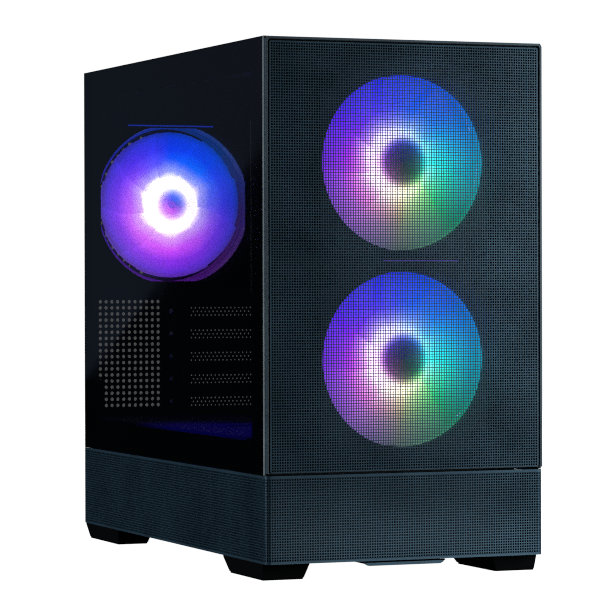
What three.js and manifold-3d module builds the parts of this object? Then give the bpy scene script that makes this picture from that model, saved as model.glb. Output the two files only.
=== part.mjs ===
// Desktop computer tower: a mid-size steel case with a glass side, a mesh front and working insides.
// Every piece is a separate closed solid.  Millimetres, +Z up, the front faces -Y, the glass faces -X.
//
// The pieces are laid out in the case's own coordinates: x runs from the glass (0) to the steel side
// panel (CASE.width), y from the front (0) to the rear (CASE.depth), z up from the case's lower edge.
// The outer group moves all of it so that the origin is on the ground, under the middle of the object.
import * as THREE from 'three';
import { mergeVertices } from 'three/addons/utils/BufferGeometryUtils.js';
import Module from 'manifold-3d';

const wasm = await Module();
wasm.setup();

// ---------------------------------------------------------------- driving dimensions
const CASE = { width: 232, depth: 450, height: 400 };
const SHEET = 1;              // steel sheet
const GAP = 0.3;              // clearance between neighbouring pieces
const OVER = 1;               // how far a cutting solid runs past the face it cuts
const STANDARD_FAN = { size: 140, depth: 25, bore: 68.4, sides: 40, corner: 7 };
const CARD_PITCH = 20.32;     // expansion slots, standard spacing
const SKIRT = { top: 66.9, corner: 4 };
const FOOT = { height: 13, length: 84, width: 46, taper: 4.5, cut: { x: 19, y: 14 }, front: 13 };
const GLASS = { thick: 4, front: 3.3, back: 449.7, bottom: 67.2 };
const BEZEL = { inset: 0.3, lip: 1.8, lipDepth: 1.6, plate: 3, bottom: 68.7, frame: 8, wall: 1.6, depth: 14,
  radius: 3, side: 6.4 };
const FRONT_MESH = { edge: 3.5, top: 396.4, bottom: 69.4, face: 0.3, thick: 1 };
const FRONT_FAN = { x: 121, front: 16, upper: 306, lower: 153.6 };
const REAR_FAN = { x: 75, z: 283 };
const REAR = { inner: 448, left: 5.6, right: 227 };
const FLOOR = { bottom: 0.6, edge: 1.4, corner: 2 };
const FRONT_WALL = { face: 41.4, left: 4.6, right: 227.2 };
const ROOF = { bottom: 396.4, top: 399.9, left: 4.4, right: 227.6,
  recess: { x: [28, 204], y: [66, 424], z: 397.4 } };
const SHROUD = { top: 94, front: 60, right: 203,
  slots: [{ x: [56, 84], y: [222, 250] }, { x: [60, 98], y: [282, 302] }] };
const TRAY = { x: 205, front: 60, bottom: 96, top: 395.8,
  slots: { y: [150, 184], low: [140, 260], high: 86 } };
const BOARD = { x: 198, thick: 1.6, size: 244, rear: 446, bottom: 118 };
const FIRST_SLOT = 187.4;     // height of the top expansion slot's centre line
const SLOT_COUNT = 5;
const PSU = { x: [42, 192], y: [307, 447], z: [5.6, 91.6] };
const THUMB = { radius: 4.5, length: 5.5, sides: 20 };
const FLANGE = { y: 449.3, reach: 14 };
const WHOLE_DEPTH = FLANGE.y + SHEET + THUMB.length;

// ---------------------------------------------------------------- materials
const paint = (color, roughness, metalness) =>
  new THREE.MeshStandardMaterial({ color, roughness, metalness });
const MATERIAL = {
  steel: paint(0x1c2126, 0.55, 0.4),
  mesh: paint(0x222b33, 0.5, 0.5),
  bezel: paint(0x1d242b, 0.45, 0.2),
  glass: new THREE.MeshStandardMaterial({ color: 0x10151a, roughness: 0.05, transparent: true,
    opacity: 0.4 }),
  plastic: paint(0x0d0f11, 0.6, 0),
  rubber: paint(0x070707, 0.9, 0),
  blade: paint(0xd8dcf4, 0.4, 0),
  bare: paint(0xa9adb0, 0.35, 0.9),
  board: paint(0x14181b, 0.5, 0.1),
  fins: paint(0xb7babd, 0.4, 0.9),
  socket: paint(0x101010, 0.5, 0),
};

// ---------------------------------------------------------------- solids
// A box from its ranges along x, y and z.
function block(x, y, z) {
  const size = [x, y, z].map(([low, high]) => high - low);
  const centre = [x, y, z].map(([low, high]) => (low + high) / 2);
  return new THREE.BoxGeometry(...size).translate(...centre);
}

// A cylinder between two values along one axis, at the given place on the other two.
function rod(axis, [low, high], radius, [a, b], sides) {
  const shape = new THREE.CylinderGeometry(radius, radius, high - low, sides);
  const middle = (low + high) / 2;
  if (axis === 'x') return shape.rotateZ(Math.PI / 2).translate(middle, a, b);
  if (axis === 'y') return shape.translate(a, middle, b);
  return shape.rotateX(Math.PI / 2).translate(a, b, middle);
}

// An outline in x and y, given by its corner points, raised between two heights.
function prism(points, [low, high]) {
  const shape = new THREE.Shape(points.map(([x, y]) => new THREE.Vector2(x, y)));
  return new THREE.ExtrudeGeometry(shape, { depth: high - low, bevelEnabled: false }).translate(0, 0, low);
}

function toSolid(geometry) {
  const bare = geometry.clone();
  bare.deleteAttribute('normal');
  bare.deleteAttribute('uv');
  const welded = mergeVertices(bare, 1e-4);
  const vertProperties = new Float32Array(welded.attributes.position.array);
  const triVerts = new Uint32Array(welded.index.array);
  return new wasm.Manifold(new wasm.Mesh({ numProp: 3, vertProperties, triVerts }));
}

function toGeometry(solid) {
  const { vertProperties, triVerts } = solid.getMesh();
  const geometry = new THREE.BufferGeometry();
  geometry.setAttribute('position', new THREE.BufferAttribute(new Float32Array(vertProperties), 3));
  geometry.setIndex(new THREE.BufferAttribute(new Uint32Array(triVerts), 1));
  geometry.computeVertexNormals();
  return geometry;
}

const joined = (...parts) => toGeometry(parts.map(toSolid).reduce((whole, part) => whole.add(part)));
const cut = (base, ...tools) => toGeometry(tools.map(toSolid).reduce((rest, tool) => rest.subtract(tool),
  toSolid(base)));
const common = (a, b) => toGeometry(toSolid(a).intersect(toSolid(b)));

const tower = new THREE.Group();
tower.position.set(-CASE.width / 2, -WHOLE_DEPTH / 2, FOOT.height);

function piece(name, material, geometry, place = [0, 0, 0], turn = [0, 0, 0]) {
  const mesh = new THREE.Mesh(geometry, material);
  mesh.name = name;
  mesh.position.set(...place);
  mesh.rotation.set(...turn);
  tower.add(mesh);
}

// The same box pushed out (or in, when negative) by one amount on every side.
const grown = (range, by) => [range[0] - by, range[1] + by];
const around = (centre, size) => [centre - size / 2, centre + size / 2];

// ---------------------------------------------------------------- feet and floor
// A tapered foot: a rectangle whose inner corners are cut off, larger at the top than at the ground.
function footOutline(shrink) {
  const { width, length, cut: corner } = FOOT;
  return [[shrink / 2, shrink], [width - corner.x, shrink], [width - shrink, shrink + corner.y],
    [width - shrink, length - shrink - corner.y], [width - corner.x, length - shrink],
    [shrink / 2, length - shrink]];
}

function taperedFoot() {
  const geometry = prism(footOutline(0), [0, FOOT.height + GAP]);
  const small = footOutline(FOOT.taper);
  const large = footOutline(0);
  const position = geometry.attributes.position;
  for (let i = 0; i < position.count; i += 1) {
    if (position.getZ(i) > 0) continue;
    const x = position.getX(i);
    const y = position.getY(i);
    const corner = large.findIndex(([cx, cy]) => Math.hypot(cx - x, cy - y) < GAP);
    position.setXY(i, small[corner][0], small[corner][1]);
  }
  return geometry;
}

function feet() {
  const rear = CASE.depth - FOOT.length;
  const side = FLOOR.edge;
  for (const [yName, y] of [['front', FOOT.front], ['rear', rear]]) {
    for (const [xName, mirrored] of [['left', false], ['right', true]]) {
      const foot = taperedFoot();
      if (mirrored) foot.rotateZ(Math.PI).translate(0, FOOT.length, 0);
      const x = mirrored ? CASE.width - side : side;
      piece(`foot_${yName}_${xName}`, MATERIAL.rubber, foot, [x, y, -FOOT.height]);
    }
  }
}

const FILTER = { x: [50, 182], y: [44, 430], z: [-3.3, -0.3], tab: [80, 148], tabFront: 2, tabDrop: 3.7,
  tabDepth: 8 };

function floorPan() {
  const top = FLOOR.bottom + SHEET;
  const [left, right] = [FLOOR.edge, CASE.width - FLOOR.edge];
  const rear = REAR.inner - GAP;
  const pan = prism([[left, rear], [left, left + FLOOR.corner], [left + FLOOR.corner, left],
    [right - FLOOR.corner, left], [right, left + FLOOR.corner], [right, rear]], [FLOOR.bottom, top]);
  const railDrop = FILTER.z[0] - GAP - SHEET;
  const parts = [pan];
  for (const [x, inward] of [[FILTER.x[0], 1], [FILTER.x[1], -1]]) {
    const web = [x - inward * (GAP + SHEET), x - inward * GAP].sort((a, b) => a - b);
    const lip = [x - inward * (GAP + SHEET), x + inward * 2].sort((a, b) => a - b);
    parts.push(block(web, FILTER.y, [railDrop, top]));
    parts.push(block(lip, FILTER.y, [railDrop, railDrop + SHEET]));
  }
  for (const y of [PSU.y[0] + 20, PSU.y[1] - 20]) {
    parts.push(block(PSU.x, around(y, 6), [FLOOR.bottom, PSU.z[0] - GAP]));
  }
  const through = [FLOOR.bottom - OVER, top + OVER];
  const intake = rod('z', through, PSU_FAN.radius + 1.5, [PSU_FAN.x, PSU_FAN.y], 36);
  piece('floor_pan', MATERIAL.steel, cut(joined(...parts), intake));
}

function bottomFilter() {
  const frame = block(grown(FILTER.x, -GAP), FILTER.y, FILTER.z);
  const tongue = block(grown(FILTER.tab, -6), [FILTER.tabFront, FILTER.y[0] + OVER], [FILTER.z[0], -GAP]);
  const [left, right] = FILTER.tab;
  const tab = prism([[left, 0], [right, 0], [right - 4, FILTER.tabDepth], [left + 4, FILTER.tabDepth]],
    [-FILTER.tabDrop, -GAP]);
  piece('bottom_filter', MATERIAL.plastic, joined(frame, tongue, tab));
}

// ---------------------------------------------------------------- outer shell
// A U-shaped outline with round front corners, seen from above.
function skirtOutline(inset, radius, steps) {
  const left = inset;
  const right = CASE.width - inset;
  const points = [[left, GLASS.back]];
  for (let i = 0; i <= steps; i += 1) {
    const turn = (Math.PI / 2) * (i / steps);
    points.push([left + radius * (1 - Math.cos(turn)), inset + radius * (1 - Math.sin(turn))]);
  }
  for (let i = 0; i <= steps; i += 1) {
    const turn = (Math.PI / 2) * (i / steps);
    points.push([right - radius * (1 - Math.sin(turn)), inset + radius * (1 - Math.cos(turn))]);
  }
  points.push([right, GLASS.back]);
  return points;
}

function meshSkirt() {
  const steps = 4;
  const outer = skirtOutline(0, SKIRT.corner, steps);
  const inner = skirtOutline(SHEET, SKIRT.corner - SHEET, steps).reverse();
  piece('mesh_skirt', MATERIAL.mesh, prism([...outer, ...inner], [0, SKIRT.top]));
}

// The front rim seen from the front: straight at the bottom, round at the two top corners.
function rimOutline(inset, bottom, radius) {
  const left = inset;
  const right = CASE.width - inset;
  const top = CASE.height - inset;
  const steps = 4;
  const points = [[left, bottom], [right, bottom]];
  for (let i = 0; i <= steps; i += 1) {
    const turn = (Math.PI / 2) * (i / steps);
    points.push([right - radius * (1 - Math.cos(turn)), top - radius * (1 - Math.sin(turn))]);
  }
  for (let i = 0; i <= steps; i += 1) {
    const turn = (Math.PI / 2) * (i / steps);
    points.push([left + radius * (1 - Math.sin(turn)), top - radius * (1 - Math.cos(turn))]);
  }
  return points;
}

// An outline in x and z, raised along +y.
const frontPrism = (points, [low, high]) => prism(points.map(([x, z]) => [x, z]), [0, high - low])
  .rotateX(Math.PI / 2).translate(0, high, 0);

function frontPanel() {
  const lipEdge = BEZEL.inset + BEZEL.lip;
  const plate = frontPrism(rimOutline(BEZEL.inset, BEZEL.bottom, BEZEL.radius), [0, BEZEL.plate]);
  const pocket = frontPrism(rimOutline(lipEdge, BEZEL.bottom - OVER, BEZEL.radius - BEZEL.lip / 2),
    [-OVER, BEZEL.lipDepth]);
  const boxSide = [BEZEL.side, CASE.width - BEZEL.side];
  const boxHeight = [BEZEL.bottom + BEZEL.frame - BEZEL.wall, ROOF.bottom - 6];
  const box = block(boxSide, [BEZEL.lipDepth, BEZEL.depth], boxHeight);
  const window = block(grown(boxSide, -BEZEL.wall), [-OVER, BEZEL.depth + OVER],
    grown(boxHeight, -BEZEL.wall));
  piece('front_bezel', MATERIAL.bezel, cut(joined(cut(plate, pocket), box), window));
  const { edge, face, thick, bottom, top } = FRONT_MESH;
  piece('front_mesh', MATERIAL.mesh,
    block([edge, CASE.width - edge], [face, face + thick], [bottom, top]));
}

const POWER = { x: 190, y: 30, hole: 6.6, cap: 6.2 };
const RESET = { x: 172, y: 30, hole: 3.6, cap: 3.2 };
const STRIP = { x: [84, 206], y: [20, 40], z: [386, 399.7], lip: 1.2 };
const USB = { places: [108, 132], y: 30, wide: 15, deep: 7.4, bottom: 388, wall: 0.7 };
const JACK = { x: 153, y: 30, radius: 3.4, hole: 1.8, bottom: 389 };
const BUTTON = { rise: 0.8, length: 5, travel: 1.5 };

function roofPanel() {
  const { left, right, bottom, top, recess } = ROOF;
  const depth = [GLASS.front, FLANGE.y - GAP];
  const outer = block([left, right], depth, [bottom, top]);
  const tray = block(recess.x, recess.y, [recess.z, top + OVER]);
  const keep = { x: grown(recess.x, SHEET), y: grown(recess.y, SHEET) };
  const under = cut(block([left + SHEET, right - SHEET], grown(depth, OVER), [bottom - OVER, top - SHEET]),
    block(keep.x, keep.y, [bottom - 2 * OVER, top]));
  const socket = block(grown(STRIP.x, GAP), grown(STRIP.y, GAP), [bottom - OVER, top + OVER]);
  piece('roof_panel', MATERIAL.steel, cut(outer, tray, under, socket));
}

function topFilter() {
  const { x, y, z } = ROOF.recess;
  piece('top_filter', MATERIAL.plastic, block(grown(x, -GAP), grown(y, -GAP), [z + GAP, ROOF.top]));
}

function topStrip() {
  const { x, y, z } = STRIP;
  const wells = [z[1] - BUTTON.length - BUTTON.travel, z[1] + OVER];
  const tools = [rod('z', wells, POWER.hole, [POWER.x, POWER.y], 24),
    rod('z', wells, RESET.hole, [RESET.x, RESET.y], 16),
    rod('z', [JACK.bottom - GAP, z[1] + OVER], JACK.radius + GAP, [JACK.x, JACK.y], 16)];
  for (const place of USB.places) {
    tools.push(block(around(place, USB.wide + 2 * GAP), around(USB.y, USB.deep + 2 * GAP),
      [USB.bottom - GAP, z[1] + OVER]));
  }
  piece('top_io_strip', MATERIAL.plastic, cut(block(x, y, z), ...tools));
  for (const [name, button, sides] of [['power_button', POWER, 24], ['reset_button', RESET, 16]]) {
    const low = z[1] - BUTTON.length + GAP;
    piece(name, MATERIAL.bare, rod('z', [low, z[1] + BUTTON.rise], button.cap, [button.x, button.y], sides));
  }
  USB.places.forEach((place, index) => {
    const shell = block(around(place, USB.wide), around(USB.y, USB.deep), [USB.bottom, z[1]]);
    const mouth = block(around(place, USB.wide - 2 * USB.wall), around(USB.y, USB.deep - 2 * USB.wall),
      [USB.bottom + 1, z[1] + OVER]);
    piece(`usb_port_${index + 1}`, MATERIAL.bare, cut(shell, mouth));
  });
  piece('audio_jack', MATERIAL.plastic, cut(rod('z', [JACK.bottom, z[1]], JACK.radius, [JACK.x, JACK.y], 16),
    rod('z', [JACK.bottom + 1, z[1] + OVER], JACK.hole, [JACK.x, JACK.y], 12)));
}

const thumbScrew = (x, z) =>
  rod('y', [FLANGE.y + SHEET + GAP, WHOLE_DEPTH], THUMB.radius, [x, z], THUMB.sides);
const SCREW_HEIGHTS = { upper: 375, lower: 112 };

function glassPanel() {
  const { thick, front, back, bottom } = GLASS;
  piece('glass_panel', MATERIAL.glass, block([0, thick], [front, back], [bottom, CASE.height]));
  for (const [name, z] of Object.entries(SCREW_HEIGHTS)) {
    const height = around(z, 30);
    const web = block([thick + GAP, thick + GAP + SHEET], [430, FLANGE.y + SHEET], height);
    const flange = block([thick + GAP, thick + GAP + FLANGE.reach], [FLANGE.y, FLANGE.y + SHEET], height);
    piece(`glass_bracket_${name}`, MATERIAL.steel, joined(web, flange));
    piece(`thumb_screw_left_${name}`, MATERIAL.bare, thumbScrew(thick + GAP + FLANGE.reach / 2 + 1, z));
  }
}

function rightPanel() {
  const outside = CASE.width;
  const inside = outside - SHEET;
  const bottom = GLASS.bottom;
  const fold = 3;
  const sheet = block([inside, outside], [GLASS.front, FLANGE.y + SHEET], [bottom, CASE.height]);
  const folded = [outside - fold, outside];
  const topFold = block(folded, [GLASS.front, FLANGE.y], [CASE.height - SHEET, CASE.height]);
  const lowFold = block(folded, [GLASS.front, FLANGE.y], [bottom, bottom + SHEET]);
  const rearFold = block([outside - FLANGE.reach - fold, outside], [FLANGE.y, FLANGE.y + SHEET],
    [bottom, CASE.height]);
  piece('right_panel', MATERIAL.steel, joined(sheet, topFold, lowFold, rearFold));
  for (const [name, z] of Object.entries(SCREW_HEIGHTS)) {
    piece(`thumb_screw_right_${name}`, MATERIAL.bare, thumbScrew(outside - FLANGE.reach / 2 - fold, z));
  }
}

// ---------------------------------------------------------------- inner frame
const slotHeight = (index) => FIRST_SLOT - index * CARD_PITCH;
const IO = { x: [158, 202], z: [203, 361.5] };
const SLOT = { x: [96, 200], high: 13, cover: [89, 202], coverHigh: 18.4 };

function rearPanel() {
  const { inner, left, right } = REAR;
  const through = [inner - OVER, inner + SHEET + OVER];
  const tools = [block(IO.x, through, IO.z), block(grown(PSU.x, -2), through, grown(PSU.z, -2))];
  for (let i = 0; i < SLOT_COUNT; i += 1) {
    tools.push(block(SLOT.x, through, around(slotHeight(i), SLOT.high)));
  }
  const sheet = block([left, right], [inner, inner + SHEET], [FLOOR.bottom, ROOF.bottom - GAP]);
  piece('rear_panel', MATERIAL.steel, cut(sheet, ...tools));
}

function slotCovers() {
  const { inner } = REAR;
  for (let i = 0; i < SLOT_COUNT; i += 1) {
    const cover = block(SLOT.cover, [inner - GAP - SHEET, inner - GAP], around(slotHeight(i), SLOT.coverHigh));
    piece(`slot_cover_${i + 1}`, MATERIAL.steel, cover);
  }
  const rail = { x: [73.5, 88], z: [96.5, 200] };
  const channel = block(rail.x, [inner - 9, inner - GAP], rail.z);
  const groove = block(grown(rail.x, -1.5), [inner - 9 - OVER, inner - 2], grown(rail.z, OVER));
  piece('slot_rail', MATERIAL.steel, cut(channel, groove));
}

function frontWall() {
  const { face, left, right } = FRONT_WALL;
  const sheet = block([left, right], [face, face + SHEET], [FLOOR.bottom + SHEET + GAP, ROOF.bottom - GAP]);
  const openings = [FRONT_FAN.upper, FRONT_FAN.lower].map((z) => rod('y', [face - OVER, face + SHEET + OVER],
    STANDARD_FAN.bore - 2, [FRONT_FAN.x, z], STANDARD_FAN.sides));
  piece('front_wall', MATERIAL.steel, cut(sheet, ...openings));
}

function trayPanel() {
  const { x, front, bottom, top, slots } = TRAY;
  const sheet = block([x, x + SHEET], [front, REAR.inner - GAP], [bottom, top]);
  const windows = slots.low.map((z) => block([x - OVER, x + SHEET + OVER], slots.y, [z, z + slots.high]));
  piece('motherboard_tray', MATERIAL.steel, cut(sheet, ...windows));
}

function psuShroud() {
  const { top, front, right, slots } = SHROUD;
  const depth = [front, REAR.inner - GAP];
  const roof = block([REAR.left, right], depth, [top - SHEET, top]);
  const side = block([REAR.left, REAR.left + SHEET], depth, [FLOOR.bottom + SHEET + GAP, top]);
  const windows = slots.map(({ x, y }) => block(x, y, [top - SHEET - OVER, top + OVER]));
  piece('psu_shroud', MATERIAL.steel, cut(joined(roof, side), ...windows));
}

const DRIVE = { x: [66, 168], y: [64, 211], z: [8, 34] };

function driveBay() {
  const inside = { x: grown(DRIVE.x, 0.6), z: [DRIVE.z[0] - 2, 86] };
  const outside = { x: grown(inside.x, SHEET), z: [FLOOR.bottom + SHEET + GAP, inside.z[1] + SHEET] };
  const shell = block(outside.x, DRIVE.y, outside.z);
  const upperBay = block(inside.x, grown(DRIVE.y, OVER), [DRIVE.z[1] + 5, inside.z[1]]);
  const lowerBay = block(inside.x, grown(DRIVE.y, OVER), [DRIVE.z[0] - GAP, DRIVE.z[1] + 4]);
  piece('drive_cage', MATERIAL.steel, cut(shell, upperBay, lowerBay));
  piece('hard_drive', MATERIAL.bare, block(DRIVE.x, grown(DRIVE.y, -2), DRIVE.z));
  const tray = TRAY.x + SHEET + GAP;
  piece('solid_state_drive', MATERIAL.plastic, block([tray, tray + 7], [80, 150], [240, 340]));
}

// ---------------------------------------------------------------- fans
// A fan frame in its own axes: the air moves along y, the front face is at y = 0.
function fanFrame(size, depth, bore, sides, corner) {
  const half = size / 2;
  const flat = half - corner;
  const points = [[-flat, -half], [flat, -half], [half, -flat], [half, flat], [flat, half], [-flat, half],
    [-half, flat], [-half, -flat]];
  const strut = { deep: depth / 8, wide: size / 28 };
  const hub = rod('y', [depth - strut.deep, depth], size / 6, [0, 0], 20);
  const arms = [0, 1].map((i) => block([-bore - 2, bore + 2], [depth - strut.deep, depth],
    [-strut.wide / 2, strut.wide / 2]).rotateY((i + 0.5) * (Math.PI / 2)));
  const ring = cut(frontPrism(points, [0, depth]), rod('y', [-OVER, depth + OVER], bore, [0, 0], sides));
  return joined(ring, hub, ...arms);
}

// A rotor in the same axes: a hub with tilted blades trimmed to a round outline.
function fanRotor(radius, hubRadius, depth, blades, chord) {
  const tilt = 0.62;
  const thick = 1.6;
  const trim = rod('y', [depth * 0.08, depth * 0.78], radius, [0, 0], 40);
  const makeBlade = (i) => block([hubRadius - 3, radius + 4], around(0, thick), around(0, chord))
    .rotateX(tilt).translate(0, depth * 0.43, 0).rotateY((i * 2 * Math.PI) / blades);
  const fanned = joined(...Array.from({ length: blades }, (_, i) => makeBlade(i)));
  const hub = rod('y', [depth * 0.06, depth * 0.8], hubRadius, [0, 0], 24);
  return joined(common(fanned, trim), hub);
}

function caseFans() {
  const { size, depth, bore, sides, corner } = STANDARD_FAN;
  const places = [['front_fan_upper', [FRONT_FAN.x, FRONT_FAN.front, FRONT_FAN.upper]],
    ['front_fan_lower', [FRONT_FAN.x, FRONT_FAN.front, FRONT_FAN.lower]],
    ['rear_fan', [REAR_FAN.x, REAR.inner - GAP - depth, REAR_FAN.z]]];
  for (const [name, place] of places) {
    piece(`${name}_frame`, MATERIAL.plastic, fanFrame(size, depth, bore, sides, corner), place);
    piece(`${name}_rotor`, MATERIAL.blade, fanRotor(bore - 1.4, 23, depth, 9, 34), place);
  }
}

// ---------------------------------------------------------------- motherboard and what sits on it
const COOLER = { y: 362, z: 282, size: 92, base: 7, fins: 30, finCount: 14, fan: 15 };

function motherboard() {
  const { x, thick, size, rear, bottom } = BOARD;
  const post = [x + thick / 2, TRAY.x - GAP];
  const standoffs = [210, 283, 438].flatMap((y) => [127, 353].map((z) => rod('x', post, 3, [y, z], 6)));
  const board = block([x, x + thick], [rear - size, rear], [bottom, bottom + size]);
  piece('motherboard', MATERIAL.board, joined(board, ...standoffs));
  const face = x - GAP;
  for (const [i, y] of [[1, 282], [2, 293]]) {
    piece(`memory_module_${i}`, MATERIAL.fins, block([face - 34, face], around(y, 7), [222, 355]));
  }
  const sinkBase = block([face - 4, face], [224, 272], [138, 186]);
  const sinkFins = Array.from({ length: 7 }, (_, i) => block([face - 13, face - 3], [224, 272],
    [138 + i * 7.6, 140.4 + i * 7.6]));
  piece('chipset_heatsink', MATERIAL.fins, joined(sinkBase, ...sinkFins));
  for (const [name, i] of [['upper', 0], ['lower', 2]]) {
    const slot = block([face - 11, face], [330, 419], around(slotHeight(i), 8));
    const groove = block([face - 11 - OVER, face - 3], [332, 417], around(slotHeight(i), 1.8));
    piece(`card_slot_${name}`, MATERIAL.socket, cut(slot, groove));
  }
  piece('board_power_socket', MATERIAL.socket, block([face - 13, face], [204, 214], [262, 314]));
}

// The sockets at the rear: network, two USB and display.
const PORTS = [{ x: [178, 192], z: [262, 276] }, { x: [174, 180], z: [288, 301.5] },
  { x: [186, 192], z: [288, 301.5] }, { x: [185, 191], z: [318, 333] }];

function rearPorts() {
  const face = REAR.inner - GAP;
  const across = [BOARD.x - GAP - 38, BOARD.x - GAP];
  const holes = PORTS.map(({ x, z }) => block(x, [face - 14, face + OVER], z));
  piece('io_block', MATERIAL.socket, cut(block(across, [face - 26, face], [206, 358]), ...holes));
  const through = [face, REAR.inner + 2 * OVER];
  const shieldHoles = PORTS.map(({ x, z }) => block(grown(x, 0.5), through, grown(z, 0.5)));
  const shield = block(grown(IO.x, -GAP), [REAR.inner + 0.1, REAR.inner + 0.7], grown(IO.z, -GAP));
  piece('io_shield', MATERIAL.bare, cut(shield, ...shieldHoles));
}

function cpuCooler() {
  const { y, z, size, base, fins, finCount, fan } = COOLER;
  const face = BOARD.x - GAP;
  const span = size - 4;
  const parts = [block([face - base, face], around(y, 40), around(z, 40)),
    block([face - base - 3, face - base + 1], around(y, span), around(z, span))];
  const pitch = (span - 1.2) / (finCount - 1);
  for (let i = 0; i < finCount; i += 1) {
    const low = y - span / 2 + i * pitch;
    parts.push(block([face - base - fins, face - base - 2], [low, low + 1.2], around(z, span)));
  }
  piece('cpu_heatsink', MATERIAL.fins, joined(...parts));
  const fanFace = face - base - fins - GAP - fan;
  const turn = [0, 0, -Math.PI / 2];
  piece('cpu_fan_frame', MATERIAL.plastic, fanFrame(size, fan, 44.4, 28, 5), [fanFace, y, z], turn);
  piece('cpu_fan_rotor', MATERIAL.blade, fanRotor(43, 16, fan, 7, 22), [fanFace, y, z], turn);
}

// ---------------------------------------------------------------- power supply
const PSU_WALL = 2;
const PSU_FAN = { x: 117, y: 377, radius: 54.5, deep: 24 };
const INLET = { x: 84, z: 62, wide: 28, high: 21, deep: 18 };
const ROCKER = { x: 54, z: 62, wide: 13, high: 19, deep: 8, tilt: 8 };

function powerSupply() {
  const { x, y, z } = PSU;
  const inside = block(grown(x, -PSU_WALL), grown(y, -PSU_WALL), grown(z, -PSU_WALL));
  const lowWall = [z[0] - OVER, z[0] + PSU_WALL + OVER];
  const fanHole = rod('z', lowWall, PSU_FAN.radius + 1.5, [PSU_FAN.x, PSU_FAN.y], 36);
  const rearWall = [y[1] - PSU_WALL - OVER, y[1] + OVER];
  const inletHole = block(around(INLET.x, INLET.wide + 2 * GAP), rearWall,
    around(INLET.z, INLET.high + 2 * GAP));
  const rockerHole = block(around(ROCKER.x, ROCKER.wide + 1), rearWall, around(ROCKER.z, ROCKER.high + 2));
  piece('psu_case', MATERIAL.steel, cut(block(x, y, z), inside, fanHole, inletHole, rockerHole));
  const rotor = fanRotor(PSU_FAN.radius, 20, PSU_FAN.deep, 9, 28).rotateX(-Math.PI / 2);
  piece('psu_fan_rotor', MATERIAL.plastic, rotor, [PSU_FAN.x, PSU_FAN.y, z[0] + PSU_FAN.deep]);
  const body = [y[1] - INLET.deep, y[1] + GAP];
  const shell = block(around(INLET.x, INLET.wide), body, around(INLET.z, INLET.high));
  const mouth = block(around(INLET.x, INLET.wide - 3.5), [y[1] - INLET.deep + 2, y[1] + OVER],
    around(INLET.z, INLET.high - 4.5));
  const pinLength = [y[1] - INLET.deep + 1, y[1] - 5];
  const pins = [[-7, -2.5], [0, 2.5], [7, -2.5]].map(([dx, dz]) => block(around(INLET.x + dx, 2), pinLength,
    around(INLET.z + dz, 4)));
  piece('psu_inlet', MATERIAL.socket, joined(cut(shell, mouth), ...pins));
}

// The rocker switch: a shallow V seen from the side, turning about an axle along x.
function rockerSwitch() {
  const half = ROCKER.high / 2;
  const rise = half * Math.tan((ROCKER.tilt * Math.PI) / 180);
  const back = 2 - ROCKER.deep;
  const points = [[-half, back], [half, back], [half, 0], [0, -rise], [-half, 0]];
  const shape = prism(points, [0, ROCKER.wide]).rotateY(Math.PI / 2).translate(-ROCKER.wide / 2, 0, 0);
  const tilt = [(-ROCKER.tilt * Math.PI) / 180, 0, 0];
  piece('psu_switch', MATERIAL.plastic, shape, [ROCKER.x, PSU.y[1] + GAP, ROCKER.z], tilt);
}

// ---------------------------------------------------------------- assembly
feet();
floorPan();
bottomFilter();
meshSkirt();
frontPanel();
roofPanel();
topFilter();
topStrip();
glassPanel();
rightPanel();
rearPanel();
slotCovers();
frontWall();
trayPanel();
psuShroud();
driveBay();
caseFans();
motherboard();
rearPorts();
cpuCooler();
powerSupply();
rockerSwitch();

const assembly = new THREE.Group();
assembly.add(tower);
export default assembly;
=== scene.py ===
"""Looks of a desktop computer tower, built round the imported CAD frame.

Everything is laid out in the case's own millimetres, as the CAD part is: x from the glass to the steel side,
y from the front to the rear, z up from the case's lower edge.  ORIGIN is that corner in the row frame.
"""
from itertools import product
from math import copysign, cos, hypot, pi, radians, sin

import bmesh
import bpy
from mathutils import Matrix, Vector


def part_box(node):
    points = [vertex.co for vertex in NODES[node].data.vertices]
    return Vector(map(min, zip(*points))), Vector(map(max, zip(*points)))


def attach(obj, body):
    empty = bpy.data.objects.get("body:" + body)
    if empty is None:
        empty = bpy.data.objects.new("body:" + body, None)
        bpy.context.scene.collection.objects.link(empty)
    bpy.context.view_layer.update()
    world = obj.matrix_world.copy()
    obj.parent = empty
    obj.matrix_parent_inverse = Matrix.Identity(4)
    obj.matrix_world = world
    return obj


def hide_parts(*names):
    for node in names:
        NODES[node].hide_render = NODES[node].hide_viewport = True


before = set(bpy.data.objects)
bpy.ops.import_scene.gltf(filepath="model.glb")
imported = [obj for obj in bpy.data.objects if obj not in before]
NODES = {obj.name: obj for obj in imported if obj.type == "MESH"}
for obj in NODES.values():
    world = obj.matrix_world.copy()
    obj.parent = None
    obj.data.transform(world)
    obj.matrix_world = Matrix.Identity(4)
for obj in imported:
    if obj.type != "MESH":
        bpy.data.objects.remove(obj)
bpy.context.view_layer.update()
MM = 0.001
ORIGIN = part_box("mesh_skirt")[0]
FULL_TURN = 2 * pi
SCENE = bpy.context.scene
CORNERS = list(product((-1, 1), repeat=2))


def span(node_name):
    """A CAD node's ranges along x, y and z, in the case's millimetres."""
    low, high = ((corner - ORIGIN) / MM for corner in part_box(node_name))
    return tuple(zip(low, high))


def middle(pair):
    return (pair[0] + pair[1]) / 2


def grown(pair, by):
    return (pair[0] - by, pair[1] + by)


def around(centre, size):
    return (centre - size / 2, centre + size / 2)


# ---- materials
def fill(made, inputs):
    """Sets a node's inputs, by place or by name with _ for a space, to values or to other nodes' outputs."""
    for key, value in inputs.items():
        socket = made.inputs[key.replace("_", " ") if isinstance(key, str) else key]
        if isinstance(value, bpy.types.NodeSocket):
            made.id_data.links.new(value, socket)
        else:
            socket.default_value = value


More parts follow.
